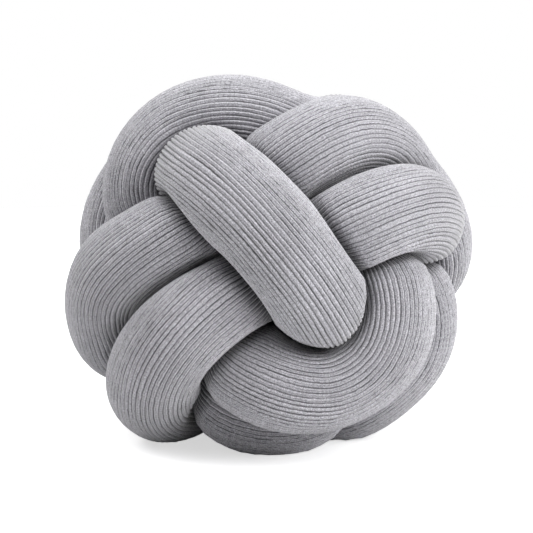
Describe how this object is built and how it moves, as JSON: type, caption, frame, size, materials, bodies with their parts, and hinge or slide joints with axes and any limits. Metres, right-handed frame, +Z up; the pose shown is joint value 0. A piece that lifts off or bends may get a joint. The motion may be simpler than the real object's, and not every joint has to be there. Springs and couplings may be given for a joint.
{
  "type": "knot cushion",
  "caption": "Ball-shaped throw cushion: a long stuffed tube of ribbed knit woven over and under itself into a tight knot, its ends tucked inside.",
  "frame": {"origin": "on the surface that the cushion rests on, under the middle of its box", "axes": "+Z up, the face with the single crossing strand towards -Y, +X to the right as seen from the front"},
  "size_m": [0.307, 0.3013, 0.273],
  "materials": {
    "ribbed_knit": "soft matte ribbed knit with a slight sheen"
  },
  "bodies": {
    "root": {"knot_tube": "ribbed_knit"}
  },
  "joints": []
}
